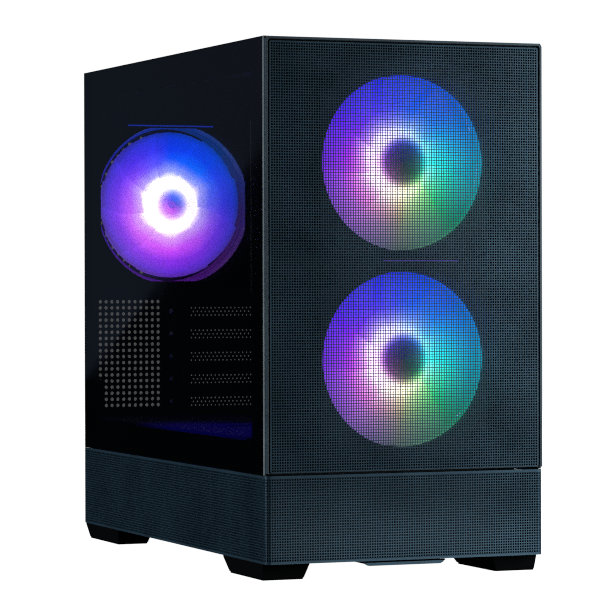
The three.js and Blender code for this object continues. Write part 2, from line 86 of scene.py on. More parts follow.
def node(tree, kind, inputs=(), **settings):
    made = tree.nodes.new("ShaderNode" + kind)
    for key, value in settings.items():
        setattr(made, key, value)
    fill(made, dict(inputs))
    return made


def math_node(tree, operation, *inputs, kind="Math"):
    return node(tree, kind, enumerate(inputs), operation=operation).outputs[0]


def ramp(tree, factor, stops):
    """A colour ramp through (place, grey or colour) stops."""
    made = node(tree, "ValToRGB", {0: factor})
    elements = made.color_ramp.elements
    while len(elements) < len(stops):
        elements.new(0.5)
    for element, (place, colour) in zip(elements, stops):
        element.position = place
        shade = (colour,) * 3 if isinstance(colour, (int, float)) else tuple(colour)
        element.color = (*shade, 1)
    return made.outputs[0]


def mix_colour(tree, factor, a, b, blend="MIX"):
    return node(tree, "Mix", {0: factor, 6: a, 7: b}, data_type="RGBA", blend_type=blend).outputs[2]


def noise(tree, vector, scale, detail):
    return node(tree, "TexNoise", {"Vector": vector, "Scale": scale, "Detail": detail}).outputs["Fac"]


def new_material(name):
    """A material with its node tree and its shader."""
    material = bpy.data.materials.new(name)
    material.use_nodes = True
    return material, material.node_tree, material.node_tree.nodes["Principled BSDF"]


def finish(name, colour, rough, metal=0.0, *, mottle=0.15, patch=22, grain=1500, bump=0.1, depth=0.06,
           brushed=None, **sockets):
    """A painted, moulded or bare surface: patchy colour, uneven gloss and a fine grain.

    brushed stretches the grain along an axis.  Other keywords set the shader's own sockets.
    """
    material, tree, shader = new_material(name)
    place = node(tree, "TexCoord").outputs["Object"]
    cloud = noise(tree, place, patch, 4)
    patches = [(0.3, [c * (1 - mottle) for c in colour]), (0.7, [min(1, c * (1 + mottle)) for c in colour])]
    stretched = math_node(tree, "MULTIPLY", place, brushed, kind="VectorMath") if brushed else place
    fine = noise(tree, stretched, grain, 3)
    uneven = 0.18
    gloss = math_node(tree, "MULTIPLY_ADD", math_node(tree, "ADD", cloud, fine), uneven, rough - uneven)
    relief = node(tree, "Bump", {"Strength": bump, "Distance": depth * MM, "Height": fine})
    fill(shader, {"Base Color": ramp(tree, cloud, patches), "Roughness": gloss, "Normal": relief.outputs[0],
                  "Metallic": metal})
    fill(shader, sockets)
    return material


STEEL = finish("powder_coat", (0.022, 0.027, 0.033), 0.5, 0.25, bump=0.3, grain=1300)
STEEL_INSIDE = finish("inner_paint", (0.016, 0.019, 0.024), 0.42, 0.2, bump=0.15)
MESH_PAINT = finish("mesh_paint", (0.1, 0.19, 0.265), 0.34, 0.35, bump=0.08, grain=2500)
BEZEL_PAINT = finish("bezel_paint", (0.14, 0.195, 0.24), 0.4, 0.25, bump=0.08)
PLASTIC = finish("moulded_plastic", (0.012, 0.013, 0.015), 0.48, bump=0.2, grain=1800)
FAN_PLASTIC = finish("fan_plastic", (0.01, 0.011, 0.014), 0.62, bump=0.12, grain=1500)
RUBBER = finish("rubber", (0.004, 0.004, 0.005), 0.85, bump=0.4, grain=900, Specular_IOR_Level=0.15)
PORT_METAL = finish("plated_metal", (0.55, 0.56, 0.57), 0.3, 1.0, mottle=0.06, bump=0.06,
                    brushed=(1, 1, 0.08))
BUTTON_METAL = finish("dark_anodised", (0.1, 0.108, 0.118), 0.32, 0.9, brushed=(0.05, 1, 1), bump=0.1)
SCREW_METAL = finish("black_screw", (0.05, 0.05, 0.055), 0.35, 0.9, bump=0.1)
BRIGHT_SCREW = finish("bright_screw", (0.62, 0.62, 0.64), 0.25, 1.0, mottle=0.08)
DRIVE_METAL = finish("cast_alloy", (0.42, 0.43, 0.44), 0.45, 0.85, bump=0.25, grain=700)
FINS = finish("bare_fins", (0.6, 0.61, 0.62), 0.3, 1.0, brushed=(1, 0.06, 1), bump=0.08)
COPPER = finish("heat_pipe", (0.72, 0.42, 0.27), 0.25, 1.0, bump=0.05)
SHROUD_METAL = finish("blasted_alloy", (0.09, 0.1, 0.11), 0.45, 0.8, bump=0.3, grain=2200)
SOLDER_MASK = finish("solder_mask", (0.012, 0.016, 0.02), 0.35, bump=0.25, grain=260, depth=0.15)
SOCKET = finish("socket_plastic", (0.02, 0.02, 0.021), 0.5, bump=0.1)
CONTACTS = finish("gold_contacts", (0.8, 0.6, 0.25), 0.3, 1.0, mottle=0.05)
CAN_METAL = finish("capacitor_can", (0.5, 0.5, 0.52), 0.3, 0.9, mottle=0.06)
PRINT_BLACK = finish("printed_border", (0.004, 0.005, 0.006), 0.35, mottle=0.1, bump=0.05)
# the glass's front edge: pale grey, partly the ground edge's own frosted colour and partly a painted
# highlight where it catches light
EDGE_PAINTED_HIGHLIGHT = finish("glass_edge_painted_highlight", (0.62, 0.68, 0.7), 0.45, mottle=0.1, bump=0.3, grain=1200)
GLASS = finish("tinted_glass", (0.002, 0.003, 0.004), 0.05, mottle=0.1, patch=5, grain=8, bump=0.01,
               Alpha=0.76, IOR=1.5)


def fan_light(name, outer, inner, rings, whites, strength, hexagon=False, body=(0.08, 0.08, 0.12)):
    """Frosted plastic lit from the hub: hue by angle, brightness and paleness by distance from the centre.

    outer and inner are the hues clockwise from the top, seen from the front.  rings gives the brightness and
    whites the share of the inner hues, as (millimetres from the centre, value) stops.
    """
    reach = 70
    material, tree, shader = new_material(name)
    place = node(tree, "TexCoord").outputs["Object"]

    def step(operation, *inputs):
        return math_node(tree, operation, *inputs)

    x, _, z = node(tree, "SeparateXYZ", {0: place}).outputs
    turn = step("MULTIPLY_ADD", step("ARCTAN2", x, z), 1 / FULL_TURN, 1.0)
    share = step("FRACT", turn)

    def wheel(hues):
        return ramp(tree, share, [(i / len(hues), hues[i % len(hues)]) for i in range(len(hues) + 1)])

    def stops(values):
        return [(millimetres / reach, value) for millimetres, value in values]

    squares = step("ADD", step("MULTIPLY", x, x), step("MULTIPLY", z, z))
    near = step("MULTIPLY", step("SQRT", squares), 1 / (reach * MM))
    across = near
    if hexagon:
        widest = step("ABSOLUTE", x)
        for side in (0.5, -0.5):
            lean = step("MULTIPLY", x, side)
            slanted = step("MULTIPLY_ADD", z, sin(radians(60)), lean)
            widest = step("MAXIMUM", widest, step("ABSOLUTE", slanted))
        straight = step("MULTIPLY", widest, 1 / (reach * MM))
        across = step("MAXIMUM", straight, step("MULTIPLY", near, 0.93))
    lit = mix_colour(tree, ramp(tree, across, stops(whites)), wheel(outer), wheel(inner))
    darker = tuple(0.85 * c for c in body)
    fill(shader, {"Emission Color": mix_colour(tree, 1.0, lit, ramp(tree, near, stops(rings)), "MULTIPLY"),
                  "Emission Strength": strength, "Roughness": 0.4,
                  "Base Color": ramp(tree, noise(tree, place, 900, 2), [(0.3, darker), (0.7, body)])})
    return material


# hues round a fan, clockwise from the top, then brightness and share of the inner hues by millimetres
FRONT_OUTER = [(0.012, 0.03, 0.62), (0, 0.119, 0.565), (0, 0.37, 0.37), (0, 0.3, 0.077), (0.19, 0.167, 0.087),
               (0.4, 0.1, 0.38), (0.268, 0.012, 0.57), (0.09, 0.006, 0.725)]
FRONT_INNER = [(0.383, 0.413, 0.778), (0.151, 0.417, 0.723), (0.03, 0.734, 0.695), (0.287, 0.73, 0.26),
               (0.884, 0.774, 0.49), (0.908, 0.659, 0.87), (0.87, 0.49, 0.91), (0.641, 0.504, 0.816)]
REAR_OUTER = [(0, 0.08, 0.97), (0, 0.12, 0.94), (0.08, 0.08, 0.75), (0.35, 0.07, 0.8), (0.6, 0.06, 0.97),
              (0.64, 0.12, 0.97), (0.45, 0.1, 0.98), (0.18, 0.06, 0.99)]
REAR_EDGE = [(0, 0.06, 0.6), (0, 0.08, 0.5), (0.06, 0.04, 0.3), (0.12, 0.02, 0.3), (0.13, 0, 0.4),
             (0.1, 0, 0.55), (0.02, 0, 0.75), (0, 0.03, 0.75)]
REAR_INNER = [(0.67, 0.69, 0.97), (0.64, 0.6, 0.96), (0.61, 0.54, 0.96), (0.75, 0.6, 0.96), (0.9, 0.7, 0.97),
              (0.94, 0.76, 0.98), (0.96, 0.78, 0.98), (0.8, 0.73, 0.98)]
FRONT_RINGS = [(0, 0.022), (9, 0.09), (14, 0.26), (17, 0.66), (20, 1.1), (26, 1.1), (40, 1),
               (50, (0.55, 0.64, 0.85)), (60, (0.35, 0.42, 0.7)), (66, (0.22, 0.34, 0.52))]
FRONT_WHITES = [(0, 0), (14, 0.05), (18, 0.35), (22, 1), (25, 1), (30, 0.4), (36, 0.12), (42, 0)]
REAR_RINGS = [(0, 1.8), (24, 1.8), (27, 1), (40, 1), (50, (0.42, 0.42, 0.82)), (60, (0.2, 0.38, 0.64)),
              (66, (0.12, 0.3, 0.25))]
REAR_WHITES = [(0, 1), (25.5, 1), (28, 0.42), (32, 0.24), (36, 0.06), (39, 0)]
REAR_STRENGTH = 17
FRONT_LIGHT = fan_light("front_fan_light", FRONT_OUTER, FRONT_INNER, FRONT_RINGS, FRONT_WHITES, strength=2.9)
REAR_LIGHT = fan_light("rear_fan_light", REAR_OUTER, REAR_INNER, REAR_RINGS, REAR_WHITES, REAR_STRENGTH,
                       hexagon=True)
REAR_HUB = fan_light("rear_hub_light", REAR_OUTER, REAR_INNER, [(0, (0.75, 0.5, 0.9)), (8, 1.0), (14, 1.3)],
                     [(0, 0.05), (8, 0.14), (12, 0.55), (14, 1.0)], REAR_STRENGTH)
REAR_RING = fan_light("rear_ring_light", REAR_EDGE, REAR_EDGE, [(0, 0.26), (70, 0.26)], [(0, 0), (70, 0)],
                      REAR_STRENGTH, body=(0.02, 0.02, 0.03))


def glowing(name, colour, light, strength):
    return finish(name, colour, 0.4, Emission_Color=(*light, 1), Emission_Strength=strength)


REAR_CORE = glowing("rear_hub_core", (0.05, 0.03, 0.1), (0.25, 0.1, 0.9), 15)
BLUE_LEAK = glowing("blue_light_leak", (0.02, 0.03, 0.08), (0.02, 0.07, 1.0), 4)
PURPLE_LEAK = glowing("purple_light_leak", (0.03, 0.02, 0.06), (0.22, 0.08, 1.0), 0.7)


def lit_shroud():
    """Dark paint under the fans' blue light, which falls off away from the glass."""
    material = finish("lit_shroud", (0.01, 0.01, 0.014), 0.75, 0.0, bump=0.15, Emission_Strength=0.62,
                      Specular_IOR_Level=0.1)
    tree = material.node_tree
    place = node(tree, "TexCoord").outputs["Object"]
    bright_spot = tuple(ORIGIN + Vector((44, 165, 94)) * MM)
    per_metre = (10.5, 5.6, 30)
    moved = math_node(tree, "SUBTRACT", place, bright_spot, kind="VectorMath")
    shrunk = math_node(tree, "MULTIPLY", moved, per_metre, kind="VectorMath")
    distance = node(tree, "VectorMath", {0: shrunk}, operation="LENGTH").outputs["Value"]
    blue = (0.015, 0.003, 1.0)
    stops = [(0.0, 1.0), (0.55, 1.0), (0.85, 0.35), (1.0, 0.04)]
    glow = ramp(tree, distance, [(place, tuple(share * c for c in blue)) for place, share in stops])
    fill(tree.nodes["Principled BSDF"], {"Emission Color": glow})
    return material


# ---- mesh building
AXES = {"x": lambda a, b, along: (along, a, b), "y": lambda a, b, along: (a, along, b),
        "z": lambda a, b, along: (a, b, along)}


def circle(centre, radius, sides=16, start=0.0):
    return [(centre[0] + radius * cos(start + FULL_TURN * i / sides),
             centre[1] + radius * sin(start + FULL_TURN * i / sides)) for i in range(sides)]


def rectangle(u, v, radius=0.0, steps=4):
    """A rectangle from its two ranges, with round corners when radius is given."""
    if not radius:
        return [(u[0], v[0]), (u[1], v[0]), (u[1], v[1]), (u[0], v[1])]
    inner_u, inner_v = grown(u, -radius), grown(v, -radius)
    points = []
    for i, (cu, cv) in enumerate(((1, 0), (1, 1), (0, 1), (0, 0))):
        for k in range(steps + 1):
            turn = pi / 2 * (i - 1 + k / steps)
            points.append((inner_u[cu] + radius * cos(turn), inner_v[cv] + radius * sin(turn)))
    return points


def area(loop):
    return abs(sum(a[0] * b[1] - b[0] * a[1] for a, b in zip(loop, loop[1:] + loop[:1]))) / 2


class Shell:
    """Closed solids gathered into one mesh.  Each method adds one and returns the shell."""

    def __init__(self):
        self.verts, self.faces = [], []

    def add(self, verts, faces):
        base = len(self.verts)
        self.verts.extend(verts)
        self.faces.extend(tuple(base + i for i in face) for face in faces)
        return self

    def box(self, x, y, z):
        return self.add(list(product(x, y, z)), [(0, 1, 3, 2), (4, 6, 7, 5), (0, 4, 5, 1), (2, 3, 7, 6),
                                                 (0, 2, 6, 4), (1, 5, 7, 3)])

    def lathe(self, axis, centre, profile, sides=48):
        """(radius, place along the axis) points turned round an axis.  The first and last lie on it."""
        verts, rings = [], []
        for radius, along in profile:
            points = circle(centre, radius, sides) if radius else [centre]
            rings.append(range(len(verts), len(verts) + len(points)))
            verts.extend(AXES[axis](a, b, along) for a, b in points)
        faces = []
        for low, high in zip(rings, rings[1:]):
            for i in range(sides):
                k = (i + 1) % sides
                quad = (low[i % len(low)], high[i % len(high)], high[k % len(high)], low[k % len(low)])
                faces.append(tuple(dict.fromkeys(quad)))
        return self.add(verts, faces)

    def rod(self, axis, along, radius, centre, sides=32, chamfer=0.3):
        low, high = along
        cut = min(chamfer, radius / 2, (high - low) / 3)
        profile = [(0, low), (radius - cut, low), (radius, low + cut), (radius, high - cut),
                   (radius - cut, high), (0, high)]
        return self.lathe(axis, centre, profile, sides)

    def pipe(self, axis, along, outer, inner, centre, sides=48, chamfer=0.25):
        low, high = along
        cut = min(chamfer, (outer - inner) / 3, (high - low) / 3)
        profile = [(inner, low + cut), (inner + cut, low), (outer - cut, low), (outer, low + cut),
                   (outer, high - cut), (outer - cut, high), (inner + cut, high), (inner, high - cut)]
        return self.loft(axis, [(circle(centre, radius, sides), place) for radius, place in profile])

    def skin(self, rings, closed=False):
        """A skin through rings of points, capped at both ends or, when closed, joined end to end."""
        count = len(rings[0])
        verts = [point for ring in rings for point in ring]
        last = len(verts) - 1
        faces = [] if closed else [tuple(range(count)), tuple(range(last, last - count, -1))]
        for low in range(0, len(verts) - (0 if closed else count), count):
            high = (low + count) % len(verts)
            for i in range(count):
                k = (i + 1) % count
                faces.append((low + i, low + k, high + k, high + i))
        return self.add(verts, faces)

    def prism(self, axis, outline, along):
        return self.skin([[AXES[axis](a, b, place) for a, b in outline] for place in along])

    def loft(self, axis, loops):
        """A closed skin through (points, place along the axis) loops."""
        return self.skin([[AXES[axis](a, b, place) for a, b in loop] for loop, place in loops], closed=True)

    def ring(self, axis, outer, inner, along):
        """A flat frame between two loops that have the same number of points."""
        low, high = along
        return self.loft(axis, [(outer, low), (inner, low), (inner, high), (outer, high)])

    def tube(self, points, radius, sides=8):
        """A round bar through the points."""
        points = [Vector(p) for p in points]
        rings, side = [], None
        for i, point in enumerate(points):
            ahead = (points[min(i + 1, len(points) - 1)] - points[max(i - 1, 0)]).normalized()
            side = side or ahead.orthogonal().normalized()
            side = (side - ahead * side.dot(ahead)).normalized()
            across = ahead.cross(side)
            rings.append([tuple(point + side * a + across * b) for a, b in circle((0, 0), radius, sides)])
        return self.skin(rings)

    def plate(self, axis, along, outline, holes=()):
        """A sheet with holes of any outline.

        A flat curve fills it.  The filler trips over points on one level, so it works on a slightly turned
        copy, and the filled area shows whether a turn has worked.
        """
        wanted = area(outline) - sum(area(hole) for hole in holes)
        for tilt in (0.0171, 0.0293, 0.0437, 0.0611, 0.0793, 0.1037, 0.1319, 0.1613):
            turn = Matrix.Rotation(tilt, 2)
            curve = bpy.data.curves.new("plate", "CURVE")
            curve.dimensions, curve.fill_mode, curve.extrude = "2D", "BOTH", (along[1] - along[0]) / 2
            for loop in (outline, *holes):
                spline = curve.splines.new("POLY")
                spline.points.add(len(loop) - 1)
                turned = [(*(turn @ Vector(point)), 0, 1) for point in loop]
                spline.points.foreach_set("co", [value for point in turned for value in point])
                spline.use_cyclic_u = True
            holder = link_object("plate", curve)
            evaluated = holder.evaluated_get(bpy.context.evaluated_depsgraph_get())
            filled = bpy.data.meshes.new_from_object(evaluated)
            bm = bmesh.new()
            bm.from_mesh(filled)
            bmesh.ops.remove_doubles(bm, verts=bm.verts, dist=1e-4)
            bm.verts.index_update()
            bm.normal_update()
            top = sum(f.calc_area() for f in bm.faces if f.normal.z > 0.9)
            good = all(edge.is_manifold for edge in bm.edges) and abs(top / wanted - 1) < 0.001
            if good:
                flat = [turn.transposed() @ v.co.xy for v in bm.verts]
                self.add([AXES[axis](*place, v.co.z + middle(along)) for place, v in zip(flat, bm.verts)],
                         [tuple(v.index for v in f.verts) for f in bm.faces])
            bm.free()
            bpy.data.meshes.remove(filled)
            bpy.data.objects.remove(holder)
            bpy.data.curves.remove(curve)
            if good:
                return self
        raise ValueError("a perforated sheet was not filled")


def link_object(name, data):
    made = bpy.data.objects.new(name, data)
    SCENE.collection.objects.link(made)
    return made


def round_edges(made, width, segments=2):
    edges = made.modifiers.new("Edges", "BEVEL")
    edges.width, edges.segments = width * MM, segments
    edges.limit_method, edges.angle_limit = "ANGLE", radians(35)


def piece(name, shell, material, replaces=(), body="chassis", bevel=0.0, place=None, smooth=38):
    """A finished piece from a shell.

    place is a matrix that puts the shell's own origin and axes somewhere.  smooth is the angle in degrees
    past which an edge stays sharp, or 0 for a flat look.
    """
    mesh = bpy.data.meshes.new(name)
    shift = Vector() if place else ORIGIN
    mesh.from_pydata([Vector(v) * MM + shift for v in shell.verts], [], shell.faces)
    bm = bmesh.new()
    bm.from_mesh(mesh)
    bmesh.ops.recalc_face_normals(bm, faces=bm.faces)
    bm.to_mesh(mesh)
    bm.free()
    if smooth:
        mesh.shade_smooth()
        mesh.set_sharp_from_angle(angle=radians(smooth))
    mesh.materials.append(material)
    made = link_object(name, mesh)
    if place:
        made.matrix_world = place
    if bevel:
        round_edges(made, bevel)
    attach(made, body)
    if replaces:
        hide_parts(*replaces)


def dress(name, material, bevel, segments=2):
    """Keeps a CAD node as it is, with a material and rounded edges."""
    kept = NODES[name]
    kept.data.materials.clear()
    kept.data.materials.append(material)
    kept.modifiers.new("Weld", "WELD").merge_threshold = 1e-5
    round_edges(kept, bevel, segments)


# ---- mesh sheets and filters
PITCH = 2.053
BAR = 0.62
SKIRT_CORNER = 4.0


def bars(low, high, width=BAR, pitch=PITCH):
    """The ranges of evenly spread bars, the first and the last centred on the two ends."""
    count = round((high - low) / pitch)
    return [around(low + (high - low) * i / count, width) for i in range(count + 1)]


def lattice(shell, axis, along, u, v, pitch=PITCH, width=BAR):
    """Crossed flat bars between two ranges; the second set is a hair thinner, so no two faces meet."""
    for bar in bars(*u, width, pitch):
        shell.box(*AXES[axis](bar, v, along))
    for bar in bars(*v, width, pitch):
        shell.box(*AXES[axis](u, bar, grown(along, -0.02)))


def front_grille():
    """The front sheet's lattice in a plain border, and a black sheet of painted shade that hides the bezel
    behind it.
    """
    x, y, z = span("front_mesh")
    border, sill = 1.2, 0.6
    shell = Shell()
    lattice(shell, "y", (y[0], y[0] + 0.4), grown(x, BAR / 2 - border),
            (z[0] + BAR / 2, z[1] - border + BAR / 2))
    shell.ring("y", rectangle(x, z, 1.4), rectangle(grown(x, -border), (z[0] + sill, z[1] - border), 0.2),
               (y[0] - 0.02, y[1]))
    piece("front_mesh_sheet", shell, MESH_PAINT, ["front_mesh"], "front_panel", smooth=0)
    # a black sheet of painted shade behind the mesh's edges, so its holes stay dark up to the border
    overlap, width = 1.3, 9
    shade_sheet = Shell().ring("y", rectangle(grown(x, overlap), (z[0], z[1] + overlap), 2),
                        rectangle(grown(x, -width), grown(z, -width), 2), (y[1] + 0.05, y[1] + 0.28))
    piece("front_mesh_shade_sheet", shade_sheet, RUBBER, body="front_panel", smooth=0)


def skirt_path(inset):
    """The skirt's outline seen from above, from the rear left, round the front, to the rear right."""
    (x0, x1), (y0, y1), _ = span("mesh_skirt")
    left, right, front = x0 + inset, x1 - inset, y0 + inset
    radius = SKIRT_CORNER - inset
    bend = [pi / 2 * i / 6 for i in range(7)]
    return [(left, y1),
            *((left + radius * (1 - cos(t)), front + radius * (1 - sin(t))) for t in bend),
            *((right - radius * (1 - sin(t)), front + radius * (1 - cos(t))) for t in bend),
            (right, y1)]


def skirt():
    (x0, x1), (y0, y1), (z0, z1) = span("mesh_skirt")
    corner, thick, border_thick = SKIRT_CORNER, 0.6, 1.0
    low, high = z0 + 1.8, z1 - 2.0
    shell = Shell()

    def band(z, out, deep):
        shell.prism("z", skirt_path(out) + skirt_path(out + deep)[::-1], z)

    for row in bars(low, high)[1:-1]:
        band(row, 0.02, thick - 0.04)
    band((z0, low + BAR / 2), 0, border_thick)
    band((high - BAR / 2, z1), 0, border_thick)
    z = (low, high)
    for side, bar in product(((x0, x0 + thick), (x1 - thick, x1)), bars(y0 + corner, y1 - BAR / 2)):
        shell.box(side, bar, z)
    for bar in bars(x0 + corner, x1 - corner):
        shell.box(bar, (y0, y0 + thick), z)
    half = BAR / 2 / corner
    for x, start in ((x0 + corner, pi), (x1 - corner, 1.5 * pi)):
        for turn in (start + pi / 6, start + pi / 3):
            shell.prism("z", [(x + r * cos(t), y0 + corner + r * sin(t))
                              for r, t in ((corner, turn - half), (corner, turn + half),
                                           (corner - thick, turn + half), (corner - thick, turn - half))], z)
    piece("skirt_mesh", shell, MESH_PAINT, ["mesh_skirt"], smooth=0)
    liner = Shell()
    for x in (x0 + border_thick + 0.125, x1 - border_thick - 0.125):
        liner.box(around(x, 0.25), (y0 + corner + 1, y1 - 2), (z0 + 0.4, high - 1))
    piece("skirt_liner", liner, RUBBER, smooth=0)


def top_filter():
    x, y, z = span("top_filter")
    shell = Shell().ring("z", rectangle(x, y, 3), rectangle(grown(x, -5), grown(y, -5), 2), z)
    shell.box(around(middle(x), 3), grown(y, -4), (z[0], z[1] - 0.3))
    lattice(shell, "z", (z[1] - 1.1, z[1] - 0.75), grown(x, -4.5), grown(y, -4.5), 1.7, 0.6)
    piece("top_filter_mesh", shell, PLASTIC, ["top_filter"], "top_filter", smooth=0)


def bottom_filter():
    """A meshed tray under the floor with a strip that runs forward to its pull tab."""
    x, y, z = span("bottom_filter")
    front, top, border = 44.0, -0.3, 7
    tab = (80.0, 148.0)
    tray = (front, y[1])
    thick = (-3.3, top)
    opening = rectangle(grown(x, -border), grown(tray, -border), 2)
    shell = Shell().ring("z", rectangle(x, tray, 3), opening, thick)
    for share in (0.33, 0.66):
        shell.box(grown(x, 1 - border), around(front + (y[1] - front) * share, 3), (-3.0, -0.6))
    lattice(shell, "z", (-2.1, -1.75), grown(x, 0.5 - border), grown(tray, 0.5 - border), 2.0, 0.7)
    shell.box(grown(tab, -6), (6, front + 1), thick)
    piece("bottom_filter_mesh", shell, PLASTIC, ["bottom_filter"], "bottom_filter", smooth=0)
    lip = 2.4
    shell = Shell().prism("y", [(a, min(b, top)) for a, b in rectangle(tab, (z[0], -z[0]), 5.0, 6)], (0, lip))
    tongue = [(tab[0] + 3, lip), (tab[1] - 3, lip), (tab[1] - 6, 9), (tab[0] + 6, 9)]
    shell.prism("z", tongue, (z[0] + 1.5, top))
    for i in range(3):
        shell.box(grown(tab, -14 - 2 * i), (3.4 + 1.6 * i, 4.2 + 1.6 * i), (z[0] + 1.2, z[0] + 1.7))
    piece("bottom_filter_tab", shell, MESH_PAINT, body="bottom_filter", smooth=0)


def feet():
    """Tapered plastic feet, sloped most at the back, with a rubber pad under each."""
    height, wall, cut = 13.0, 0.8, 1.5
    rows = (("front", 38.5, (10.0, 97.0), 12), ("rear", 32.0, (359.0, 449.6), 9))
    for (row, wide, y, slope), side in product(rows, ("left", "right")):
        name = f"foot_{row}_{side}"
        x0, x1 = span(name)[0]
        outer, inner = (x0 - 0.6, x0 + wide) if side == "left" else (x1 + 0.6, x1 - wide)
        inward = copysign(1, inner - outer)

        def outline(share):
            a, b = outer + inward * share, inner - inward * 4 * share
            low, high = y[0] + 2.5 * share, y[1] - slope * share
            bevelled = b - inward * cut
            return [(a, low), (bevelled, low), (b, low + cut), (b, high - cut), (bevelled, high), (a, high)]

        base = -height + 1.2
        shell = Shell().prism("z", outline(1.0), (base, base + wall))
        shell.loft("z", [(outline(0), 0.2), (outline(0.05), -1.5), (outline(1.0), base), (outline(1.2), base),
                         (outline(1.2), 0.2)])
        piece(name + "_moulded", shell, RUBBER, [name], smooth=20)
        pad = Shell().prism("z", outline(1.12), (-height, -height + 1.15))
        piece(name + "_pad", pad, RUBBER, bevel=0.3)


def glass_side():
    x, y, z = span("glass_panel")
    dress("glass_panel", GLASS, 0.5, 3)
    edge = (grown(y, -0.4), grown(z, -0.4))
    window = rectangle((y[0] + 33, y[1] - 25), (z[0] + 24.5, z[1] - 25), 5)
    shell = Shell().ring("x", rectangle(*edge, 1), window, (x[1] + 0.04, x[1] + 0.16))
    piece("glass_printed_border", shell, PRINT_BLACK, body="glass_side", smooth=0)
    shell = Shell().ring("x", rectangle(grown(y, 0.1), grown(z, 0.1), 0.3), rectangle(*edge, 0.3),
                         (x[0] + 0.05, x[1] + 0.18))
    piece("glass_polished_edge", shell, PRINT_BLACK, body="glass_side", smooth=0)
    # a pale strip along the glass's front edge: painted highlight over the edge's own frosted grey
    shell = Shell().box((x[0] - 0.02, x[0] + 0.5), (y[0] - 0.2, y[0] + 3.0), grown(z, -0.3))
    piece("glass_front_edge", shell, EDGE_PAINTED_HIGHLIGHT, body="glass_side", bevel=0.12)


# ---- fans: a fan's own origin is its centre at its front face, with the air moving along y
FACING = {"x": Matrix.Rotation(-pi / 2, 4, "Z"), "z": Matrix.Rotation(pi / 2, 4, "X")}


def fan_place(x, y, z, turn=Matrix()):
    """Where a fan's own origin and axes go, from the case's millimetres."""
    return Matrix.Translation(ORIGIN + Vector((x, y, z)) * MM) @ turn


def fan_frame(fan, place, size=140, depth=25, bore=68.4, hub=21.0, pads=True, ring=None):
    """A moulded fan housing: two flanges, a round duct, screw bosses, and a motor plate on its arms.

    ring is the material of a lit duct, which also widens the mouth.
    """
    name = fan + "_housing"
    half, screw, flange = size / 2, size * 0.446, size / 35
    screws = [(a * screw, b * screw) for a, b in CORNERS]
    opening = circle((0, 0), bore, 64)
    screw_holes = [circle(centre, size * 0.016, 12) for centre in screws]
    outline = rectangle((-half, half), (-half, half), size * 0.055, 5)

    def mouth(radius, rim):
        flat = half - rim
        return [(max(-flat, min(flat, a)), max(-flat, min(flat, b))) for a, b in circle((0, 0), radius, 64)]

    front_opening = mouth(bore * 1.052, 1.7) if ring else opening
    shell = Shell().plate("y", (0, flange), outline, [front_opening, *screw_holes])
    shell.plate("y", (depth - flange, depth), outline, [opening, *screw_holes])
    shell.pipe("y", (flange * 1.6, depth - flange * 0.7), bore + 1.4, bore + 0.05, (0, 0), 64)
    for centre in screws:
        shell.pipe("y", (flange * 0.8, depth - flange * 0.8), size * 0.034, size * 0.017, centre, 16)
    shell.rod("y", (depth - 3.6, depth - 0.4), hub, (0, 0), 48, 0.6)
    for i in range(4):
        points = []
        for share in (k / 5 for k in range(6)):
            reach = hub - 2 + (bore + 1.5 - hub) * share
            angle = FULL_TURN * (i + 0.5) / 4 + 0.28 * share
            points.append((reach * cos(angle), depth - 2.0, reach * sin(angle)))
        shell.tube(points, size / 90)
    piece(name, shell, FAN_PLASTIC, [fan + "_frame"], place=place)
    if pads:
        shell = Shell()
        for (a, b), centre in zip(CORNERS, screws):
            pad = rectangle(around(a * (half - 7.2), 13.6), around(b * (half - 7.2), 13.6), 4)
            shell.plate("y", (-0.25, 0.5), pad, [circle(centre, size * 0.02, 12)])
        piece(name + "_pads", shell, RUBBER, place=place)
    if ring:
        wide, back = bore * 1.05, depth * 0.8
        loops = [(mouth(wide, 1.75), flange * 0.55), (mouth(bore, 1.75), flange * 1.7),
                 (mouth(bore - 0.3, 1.75), back), (mouth(bore - 0.05, 1.6), back),
                 (mouth(bore + 0.3, 1.6), flange * 1.75), (mouth(wide + 0.3, 1.6), flange * 0.6)]
        lit = Shell().loft("y", loops)
        piece(name + "_duct", lit, ring, place=place)


def add_blade(shell, start, hub, tip, depth, chord, centre):
    """One twisted blade as a closed skin: wide at the tip, swept forward, flatter toward the rim."""
    sweep, thick, rows, columns = 0.32, 1.3, 9, 7
    grid = []
    for side in (0.5, -0.5):
        for share in (i / (rows - 1) for i in range(rows)):
            radius = hub - 1.5 + (tip - hub + 1.5) * share
            wide = chord * (0.92 + 0.16 * share)
            lean = depth * (1.0 - 0.28 * share)
            for across in (k / (columns - 1) - 0.5 for k in range(columns)):
                angle = start + sweep * share ** 1.3 + wide * across
                camber = 0.10 * depth * (1 - 4 * across * across)
                grid.append((radius * sin(angle), centre + lean * across + camber + side * thick,
                             radius * cos(angle)))
    faces = []
    count = rows * columns
    for i in range(rows - 1):
        for a in range(i * columns, (i + 1) * columns - 1):
            b, c, d = a + 1, a + columns, a + columns + 1
            faces += [(a, b, d, c), (count + a, count + c, count + d, count + b)]
    rim = [*range(columns), *range(2 * columns - 1, count, columns),
           *range(count - 2, count - columns - 1, -1), *range(count - 2 * columns, 0, -columns)]
    faces += [(a, b, count + b, count + a) for a, b in zip(rim, rim[1:] + rim[:1])]
    shell.add(grid, faces)


